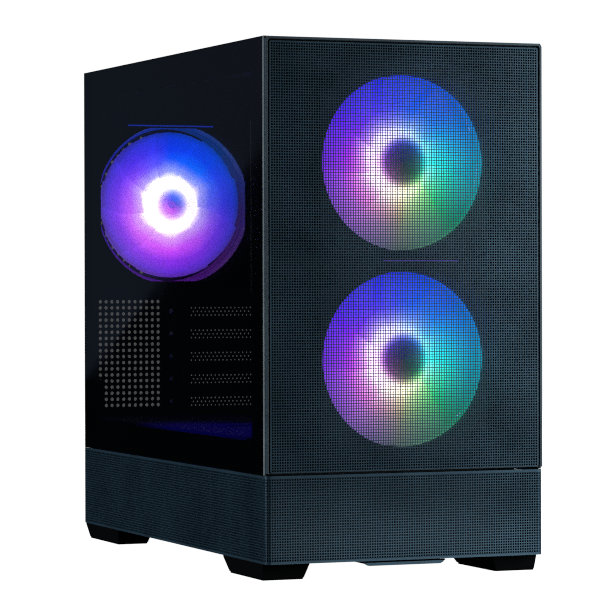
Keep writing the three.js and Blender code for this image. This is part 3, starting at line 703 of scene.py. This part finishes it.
def rotor(fan, place, material, hub, tip, lean, depth=25, blades=9, chord=0.98, cap=None, recess=0.07):
    """Blades on a domed hub.  cap is the material of a lit disc in the hub's face."""
    name, body = fan + "_blades", fan + "_rotor"
    shell = Shell()
    for i in range(blades):
        add_blade(shell, FULL_TURN * i / blades, hub, tip, depth * lean, chord, depth * 0.43)
    piece(name, shell, material, [body], body, place=place, smooth=50)
    top, low = depth * recess, min(depth * 0.8, depth - 4.4)

    def part(suffix, made_of, profile, sides):
        turned = Shell().lathe("y", (0, 0), profile, sides)
        piece(name + suffix, turned, made_of, body=body, place=place)

    part("_hub", material, [(0, top), (hub * 0.62, top), (hub * 0.66, top + 0.35), (hub * 0.7, top),
                            (hub * 0.9, top + 0.3), (hub * 0.97, top + 1.1), (hub, top + 2.6), (hub, low),
                            (hub - 2, low), (hub - 2, low - 1), (0, low - 1)], 56)
    if cap:
        part("_cap", cap, [(0, top - 0.5), (2.0, top - 0.5), (2.2, top - 0.3), (hub * 0.56, top - 0.3),
                           (hub * 0.6, top + 0.1), (hub * 0.6, top + 0.6), (0, top + 0.6)], 48)
        part("_core", REAR_CORE, [(0, top - 0.9), (1.4, top - 0.9), (1.9, top - 1.2), (2.6, top - 0.9),
                                  (3.4, top - 0.4), (0, top)], 32)


def case_fans():
    for fan in ("front_fan_upper", "front_fan_lower"):
        x, y, z = span(fan + "_frame")
        place = fan_place(middle(x), y[0], middle(z))
        fan_frame(fan, place)
        rotor(fan, place, FRONT_LIGHT, 23, 66.8, 0.42)
        outside, inside = circle((0, 0), 67.6, 64), circle((0, 0), 67.2, 64)
        sleeve = Shell().ring("y", outside, inside, (3, 20))
        piece(fan + "_sleeve", sleeve, FRONT_LIGHT, place=place)
    x, y, z = span("rear_fan_frame")
    place = fan_place(middle(x), y[0], middle(z))
    fan_frame("rear_fan", place, ring=REAR_RING)
    rotor("rear_fan", place, REAR_LIGHT, 25, 65, 0.36, cap=REAR_HUB, recess=0.22)
    leak = Shell().box((32, 112), (y[0] - 0.7, y[0] - 0.2), (z[1] - 0.5, z[1] + 0.7))
    piece("rear_fan_light_leak", leak, BLUE_LEAK, bevel=0.15)
    upper, lower = span("front_fan_upper_frame"), span("front_fan_lower_frame")
    between = (upper[2][0] + lower[2][1]) / 2
    leak = Shell().box((105, 168), (upper[1][0] + 2, upper[1][0] + 4), around(between, 0.9))
    piece("front_fan_light_leak", leak, PURPLE_LEAK, bevel=0.2)


# ---- rear wall
SLOT_HEIGHTS = [middle(span(f"slot_cover_{i}")[2]) for i in range(1, 6)]


def screw_heads(shell, axis, face, centres, radius=3.2, out=1):
    """Pan heads with a recess, standing out of a face."""
    profile = [(0, -0.3), (radius, -0.3), (radius, 0.5), (radius * 0.85, 1.2), (radius * 0.35, 1.5),
               (radius * 0.3, 0.7), (0, 0.6)]
    for centre in centres:
        shell.lathe(axis, centre, [(r, face + rise * out) for r, rise in profile], 20)
    return shell


def rear_wall():
    x, y, z = span("rear_panel")
    fan_x, _, fan_z = (middle(pair) for pair in span("rear_fan_frame"))
    fan_screws = [(fan_x + a * 62.5, fan_z + b * 62.5) for a, b in CORNERS]
    board_opening = rectangle((158, 202), (203, 361.5), 1.5)
    supply_opening = rectangle((44, 190), (7.6, 89.6), 2)
    holes = [board_opening, supply_opening, *(rectangle((96, 200), around(h, 13), 1) for h in SLOT_HEIGHTS)]
    pitch, radius, columns, rows, reach = 5.45, 1.62, 11, 18, 64.5
    for i, k in product(range(columns), range(rows)):
        holes.append(circle((14.2 + i * pitch, 196.5 - k * pitch), radius, 12))
    steps = [i * pitch for i in range(-12, 13)]
    holes += [circle((fan_x + a, fan_z + b), radius, 12) for a, b in product(steps, steps)
              if hypot(a, b) < reach]
    holes += [rectangle(around(a, 9), around(b, 4.4), 2.1) for a, b in fan_screws]
    shell = Shell().plate("y", y, rectangle(x, z, 1), holes)
    shell.box(grown(x, -0.6), (y[0] - 1.4, y[0] - 0.4), (z[1] - 2.1, z[1] + 2.6))
    lower, upper = (grown(span(f"glass_bracket_{which}")[2], 0.5) for which in ("lower", "upper"))
    for flange in ((68.0, lower[0]), (lower[1], upper[0]), (upper[1], z[1] - 0.2)):
        shell.box((x[0] - 1.2, x[0] + 0.2), (y[0] - 2.5, y[1] - 0.1), flange)
    piece("rear_wall_sheet", shell, STEEL, ["rear_panel"], smooth=0)
    screws = screw_heads(Shell(), "y", y[1], fan_screws)
    screw_heads(screws, "y", y[1], ((48, 84), (186, 84), (48, 14), (186, 34)), 3.4)
    piece("rear_wall_screws", screws, SCREW_METAL)


def slot_covers():
    for number, height in enumerate(SLOT_HEIGHTS, 1):
        x, y, z = span(f"slot_cover_{number}")
        holes = []
        for row, shift in ((-1, 0), (0, 1.9), (1, 0)):
            holes += [circle((x[0] + 11 + shift + i * 3.8, height + row * 3.3), 0.78, 8) for i in range(26)]
        shell = Shell().plate("y", y, rectangle(x, z, 1.5), holes)
        shell.box((x[0], x[0] + 5), (y[0] - 2.2, y[0]), around(height, 10))
        piece(f"slot_cover_sheet_{number}", shell, STEEL, [f"slot_cover_{number}"], smooth=0)
    x, y, _ = span("slot_rail")
    screws = screw_heads(Shell(), "y", y[0] + 7.0, [(middle(x), height) for height in SLOT_HEIGHTS], 3.0, -1)
    piece("slot_screws", screws, BRIGHT_SCREW)


def thumb_screws():
    teeth = 30
    for side, height in product(("left", "right"), ("upper", "lower")):
        name = f"thumb_screw_{side}_{height}"
        x, y, z = span(name)
        centre, radius, back = (middle(x), middle(z)), (x[1] - x[0]) / 2, y[1]
        outline = []
        for i in range(teeth * 2):
            r = radius - 0.35 * (i % 2)
            turn = FULL_TURN * i / (teeth * 2)
            outline.append((centre[0] + r * cos(turn), centre[1] + r * sin(turn)))
        shell = Shell().prism("y", outline, (y[0] + 1.2, back - 0.9))
        shell.rod("y", (y[0], y[0] + 1.3), radius - 0.5, centre, 30, 0.2)
        shell.lathe("y", centre, [(0, back - 1), (radius - 0.4, back - 1), (radius - 1, back), (1.7, back),
                                  (1.5, back - 0.8), (0, back - 0.8)], 30)
        piece(name + "_knurled", shell, SCREW_METAL, [name], name)


# ---- power supply
def supply_grille():
    """Hexagonal holes over the supply's rear, except round the inlet and the switch."""
    x, y, z = span("psu_case")
    inlet, switch = span("psu_inlet"), span("psu_switch")
    pitch, radius, margin = 6.4, 2.9, 5
    holes = [rectangle(grown(part[0], 0.6), grown(part[2], 0.6), 1) for part in (inlet, switch)]
    for i, k in product(range(21), range(13)):
        a = x[0] + 10.5 + (i + k % 2 / 2) * pitch
        b = z[0] + 9.5 + k * pitch * 0.866
        clear = not any(low - margin < a < high + margin and bottom - margin < b < top + margin
                        for (low, high), _, (bottom, top) in (inlet, switch))
        beside_inlet = a < inlet[0][1] + 6 and b > inlet[2][0] - 6
        if clear and not beside_inlet and a < x[1] - 9 and b < z[1] - 8:
            holes.append(circle((a, b), radius, 6, pi / 6))
    shell = Shell().plate("y", (y[1] + 0.05, y[1] + 0.5), rectangle(grown(x, -3), grown(z, -3), 1.5), holes)
    piece("psu_rear_grille", shell, SHROUD_METAL, smooth=0)


def supply_fan():
    """The supply's fan, which looks down, and its guard of wire rings on four crossed wires."""
    x, y, z = span("psu_fan_rotor")
    centre = (middle(x), middle(y))
    place = fan_place(*centre, z[0] - 0.6, FACING["z"])
    rotor("psu_fan", place, PLASTIC, 20, 54, 0.7, depth=20, blades=7, chord=0.9)
    wire, height = 0.7, 8.2
    shell = Shell()
    for reach in (12, 22, 32, 42, 52, 60):
        shell.loft("z", [(circle(centre, reach + wire * cos(t), 64), height + wire * sin(t))
                         for t in (0, 1.05, 2.09, 3.14, 4.19, 5.24)])
    for k in range(4):
        a, b = 61 * cos(pi / 4 * k), 61 * sin(pi / 4 * k)
        shell.tube([(centre[0] - a, centre[1] - b, 7.6), (centre[0] + a, centre[1] + b, 7.6)], wire, 6)
    piece("psu_fan_guard", shell, SCREW_METAL)


def inlet_pins():
    x, y, z = span("psu_inlet")
    shell = Shell()
    for share, rise in ((0.28, -1.5), (0.5, 2.5), (0.72, -1.5)):
        shell.box(around(x[0] + (x[1] - x[0]) * share, 1.6), grown(y, -4), around(middle(z) + rise, 4.5))
    piece("psu_inlet_pins", shell, PORT_METAL, bevel=0.2)


# ---- main board, its cooler and memory
def cooler():
    x, y, z = span("cpu_fan_frame")
    place = fan_place(x[0], middle(y), middle(z), FACING["x"])
    fan_frame("cpu_fan", place, y[1] - y[0], x[1] - x[0], 44.0, hub=15.5, pads=False)
    rotor("cpu_fan", place, PLASTIC, 16, 42.6, 0.52, depth=13.5, chord=0.85)
    (x0, x1), y, (z0, z1) = span("cpu_heatsink")
    shell = Shell()
    for k, across in enumerate((-27, -9, 9, 27)):
        bend = [(x1 - 4, z0 + 12), (x1 - 4, z0 - 1)]
        out = z0 - 5.5 - 2.0 * (k % 2)
        bend += [(x1 - 6, out + 1), (x1 - 10, out), (x0 + 16, out), (x0 + 12, out + 1), (x0 + 10, z0 - 1),
                 (x0 + 10, z0 + 10)]
        shell.tube([(a, middle(y) + across, b) for a, b in bend], 2.6, 10)
    piece("heat_pipes", shell, COPPER)


def board_parts():
    """The small parts on the board's face, which stand out toward the glass."""
    (face, _), y, z = span("motherboard")
    ports = span("io_block")[1]

    def rise(high, low=0.3):
        return (face - high, face - low)

    shell = Shell()
    shell.box(rise(6), (ports[0] - 11, ports[0] - 1.5), (245, 323))
    shell.box(rise(6), (319, 401), (337, 347.5))
    for k in range(9):
        shell.box(rise(17, 5), (ports[0] - 10.5, ports[0] - 2.0), around(250 + k * 8.6, 5.4))
        shell.box(rise(15, 5), around(324 + k * 9.0, 5.6), (337.5, 347))
    piece("regulator_heatsinks", shell, SHROUD_METAL, bevel=0.3)
    shell = Shell()
    for k in range(7):
        shell.box(rise(6.5), around(326 + k * 11.5, 7.5), (328.6, 335.8))
    shell.box(rise(2.2), (226, 270), (196, 216))
    for low in (120, 138):
        shell.box(rise(9.5), (205, 219), (low, low + 16))
    shell.box(rise(9), (385, 419), (352, 359))
    piece("chokes_and_headers", shell, SOCKET, bevel=0.4)
    shell = Shell()
    for centre in ((301, 340), (301, 331), (311, 352), (320, 352), (329, 352), (338, 352), (306, 226),
                   (306, 217), (318, 226), (410, 215), (402, 215), (280, 130), (290, 130), (300, 130),
                   (410, 128)):
        shell.rod("x", rise(8.5, 0.2), 3.3, centre, 20, 0.6)
    piece("capacitors", shell, CAN_METAL)
    sockets, ribs = Shell(), Shell()
    for name in ("memory_module_1", "memory_module_2"):
        mx, my, mz = span(name)
        for b in grown(mz, 2.6):
            sockets.box(rise(12), around(middle(my), 6.6), around(b, 4.4))
        for side in grown(my, 0.75):
            sockets.box(rise(6), around(side, 1.1), grown(mz, 4))
        for (side, out), k in product(((my[0], -0.5), (my[1], 0.5)), range(4)):
            ribs.box((mx[0] + 4 + k * 4.5, mx[0] + 6 + k * 4.5), sorted((side, side + out)), grown(mz, -10))
    piece("memory_sockets", sockets, SOCKET, bevel=0.2)
    piece("memory_ribs", ribs, BUTTON_METAL, bevel=0.15)
    shell = Shell()
    for name in ("card_slot_upper", "card_slot_lower"):
        _, along, across = span(name)
        shell.box(rise(11.6, 11.1), grown(along, -3), around(middle(across), 1.8))
    shell.box(rise(0.9, 0.2), grown(y, -6), (z[1] - 4.2, z[1] - 3.0))
    piece("slot_contacts", shell, CONTACTS, smooth=0)
    centres = product((y[0] + 8, 304, y[1] - 9), (z[0] + 7, 206, z[1] - 6))
    piece("board_screws", screw_heads(Shell(), "x", face, centres, 3.0, -1), BRIGHT_SCREW)


def port_shields():
    x, y, _ = span("io_block")
    shell = Shell()
    for low in range(212, 333, 24):
        shell.box((x[0] - 0.6, x[0] + 0.2), grown(y, -2.5), (low, low + 14))
    piece("port_shields", shell, PORT_METAL, bevel=0.2)


def cooler_screws():
    x, y, z = span("cpu_heatsink")
    shell = Shell()
    for centre in product(grown(y, -4), grown(z, -4)):
        shell.rod("x", (x[0] - 17.0, x[0] - 15.4), 1.6, centre, 16)
    piece("cooler_screws", shell, BRIGHT_SCREW)


# ---- top strip and drives
def top_strip():
    top = span("top_io_strip")[2][1]
    tongues, contacts, rings = Shell(), Shell(), Shell()
    for name in ("usb_port_1", "usb_port_2"):
        x, y, _ = span(name)
        tongues.box(grown(x, -1.9), (middle(y) + 0.2, middle(y) + 2.2), (top - 9.5, top - 1.2))
        for k in range(4):
            contacts.box(around(x[0] + 4.4 + k * 2.1, 0.9), (middle(y) + 0.1, middle(y) + 0.25),
                         (top - 8, top - 2.2))
    x, y, _ = span("audio_jack")
    contacts.pipe("z", (top - 0.2, top + 0.25), 3.2, 1.95, (middle(x), middle(y)), 32, 0.1)
    for name in ("power_button", "reset_button"):
        x, y, _ = span(name)
        radius = (x[1] - x[0]) / 2
        rings.pipe("z", (top - 0.1, top + 0.2), radius + 1.1, radius + 0.35, (middle(x), middle(y)), 48, 0.1)
    piece("usb_tongues", tongues, SOCKET, bevel=0.15)
    piece("port_contacts", contacts, CONTACTS)
    piece("button_rings", rings, BUTTON_METAL)


def drives():
    x, y, z = span("hard_drive")
    bearings = [circle((x[0] + 30, y[0] + 40), 4, 20), circle((x[1] - 26, y[1] - 30), 4, 20)]
    lid = Shell().plate("z", (z[1] - 0.1, z[1] + 0.5), rectangle(grown(x, -4), grown(y, -4), 6), bearings)
    piece("hard_drive_lid", lid, PORT_METAL, bevel=0.15)
    centres = product((x[0] + 8, middle(x), x[1] - 8), grown(y, -8))
    screws = screw_heads(Shell(), "z", z[1] + 0.5, centres, 2.2)
    x, y, z = span("solid_state_drive")
    screw_heads(screws, "x", x[1], product(grown(y, -6), grown(z, -6)), 1.8)
    piece("drive_screws", screws, BRIGHT_SCREW)
    cover = Shell().box((x[1] - 0.1, x[1] + 0.35), grown(y, -11), grown(z, -14))
    piece("solid_state_cover", cover, SHROUD_METAL, bevel=0.3)


# ---- camera, light and floor
def place_camera():
    camera = link_object("camera", bpy.data.cameras.new("camera"))
    SCENE.camera = camera
    yaw, down, roll = radians(21.68), radians(0.34), radians(-0.14)
    aim = Matrix.Rotation(-yaw, 4, "Z") @ Matrix.Rotation(pi / 2 - down, 4, "X")
    camera.matrix_world = Matrix.Translation((-0.9456, -2.3846, 0.2269)) @ aim @ Matrix.Rotation(roll, 4, "Z")
    camera.data.lens, camera.data.clip_start, camera.data.clip_end = 183.7, 0.05, 60


def light_world():
    """White to the camera, a faint grey-blue to diffuse rays and nearly nothing to the rest."""
    world = bpy.data.worlds.new("studio")
    SCENE.world = world
    world.use_nodes = True
    tree = world.node_tree
    tree.nodes.clear()
    path = node(tree, "LightPath")

    def background(colour, strength):
        return node(tree, "Background", {0: (*colour, 1), 1: strength}).outputs[0]

    sky = background((0.7, 0.85, 1.0), 0.003)
    for ray, light in (("Is Diffuse Ray", ((0.85, 0.95, 1.0), 0.02)), ("Is Camera Ray", ((1, 1, 1), 1.0))):
        inputs = {0: path.outputs[ray], 1: sky, 2: background(*light)}
        sky = node(tree, "MixShader", inputs).outputs[0]
    node(tree, "OutputWorld", {0: sky})


def sheet_object(name, corners, **sockets):
    """A flat sheet of the stage, with its shader's sockets."""
    material, _, shader = new_material(name)
    fill(shader, sockets)
    mesh = bpy.data.meshes.new(name)
    mesh.from_pydata(corners, [], [tuple(range(len(corners)))])
    mesh.materials.append(material)
    made = link_object(name, mesh)
    made.visible_diffuse = made.visible_transmission = False
    return made


def softbox(name, location, target, size, power, colour=(1, 1, 1)):
    light = bpy.data.lights.new(name, "AREA")
    light.shape, light.size, light.size_y = "RECTANGLE", size[0], size[1]
    light.energy, light.color = power, colour
    made = link_object(name, light)
    made.location = location
    made.visible_camera = False
    made.rotation_euler = (Vector(target) - Vector(location)).to_track_quat("-Z", "Y").to_euler()


def studio():
    place_camera()
    light_world()
    SCENE.view_settings.view_transform = "Standard"
    # a denoiser wipes out the holes of the steel mesh, which are about two pixels apart
    SCENE.cycles.use_denoising = False
    SCENE.cycles.filter_width = 1.15
    # rays that cross the dark glass are kept, or what is behind it comes out speckled
    SCENE.cycles.min_transparent_bounces = 8
    disc = [(a, b, 0) for a, b in circle((0, 0), 12, 96)]
    floor = sheet_object("floor", disc, Base_Color=(0.8, 0.8, 0.8, 1), Roughness=0.9,
                         Emission_Color=(1, 1, 1, 1), Emission_Strength=1.0)
    floor.visible_glossy = False
    # a dim card to the left, which only mirrors see, gives the glass its sloping pale patch
    outline = [(1.2, 0.749), (2.827, 0.053), (3.4, 0.053), (3.4, 1.6), (1.2, 1.6)]
    card = sheet_object("slate_card", [(-0.946, y, z) for y, z in outline], Base_Color=(0, 0, 0, 1),
                        Emission_Color=(0.7, 0.95, 1.5, 1), Emission_Strength=0.045)
    card.visible_camera = card.visible_shadow = card.visible_volume_scatter = False
    softbox("right_softbox", (0.66, -0.74, 0.29), (0, -0.2, 0.19), (0.35, 0.4), 2.45, (0.9, 0.98, 1.0))
    softbox("overhead", (0.5, 0.1, 2.4), (0, 0, 0.2), (1.8, 1.8), 12)
    softbox("left_fill", (-2.4, 0.3, 0.5), (0, 0, 0.1), (1.2, 0.8), 12, (0.8, 0.92, 1.0))
    softbox("rear_fill", (0.9, 2.4, 1.1), (0, 0, 0.2), (1.4, 1.2), 14)
    softbox("floor_bounce", (0.06, -0.33, 0.012), (0.04, -0.228, 0.05), (0.26, 0.05), 0.03, (0.85, 0.96, 1.0))


studio()
for build in (front_grille, skirt, top_filter, bottom_filter, feet, glass_side, case_fans, rear_wall,
              slot_covers, thumb_screws, supply_grille, supply_fan, inlet_pins, cooler, board_parts,
              port_shields, cooler_screws, top_strip, drives):
    build()
# CAD nodes that keep their shape: material, rounding in millimetres, nodes
KEPT_NODES = [
    (BEZEL_PAINT, 0.35, "front_bezel"),
    (STEEL, 0.3, "roof_panel right_panel slot_rail"),
    (STEEL, 0.25, "glass_bracket_upper glass_bracket_lower"),
    (STEEL_INSIDE, 0.25, "floor_pan front_wall motherboard_tray drive_cage psu_case"),
    (lit_shroud(), 0.25, "psu_shroud"),
    (PLASTIC, 0.2, "audio_jack"),
    (PLASTIC, 0.3, "top_io_strip"),
    (PLASTIC, 0.4, "psu_switch solid_state_drive"),
    (PORT_METAL, 0.15, "usb_port_1 usb_port_2"),
    (PORT_METAL, 0.1, "io_shield"),
    (BUTTON_METAL, 0.4, "power_button reset_button"),
    (SOLDER_MASK, 0.2, "motherboard"),
    (SHROUD_METAL, 0.3, "memory_module_1 memory_module_2 chipset_heatsink"),
    (SOCKET, 0.3, "card_slot_upper card_slot_lower board_power_socket io_block psu_inlet"),
    (FINS, 0.1, "cpu_heatsink"),
    (DRIVE_METAL, 0.8, "hard_drive"),
]
for material, bevel, names in KEPT_NODES:
    for name in names.split():
        dress(name, material, bevel)
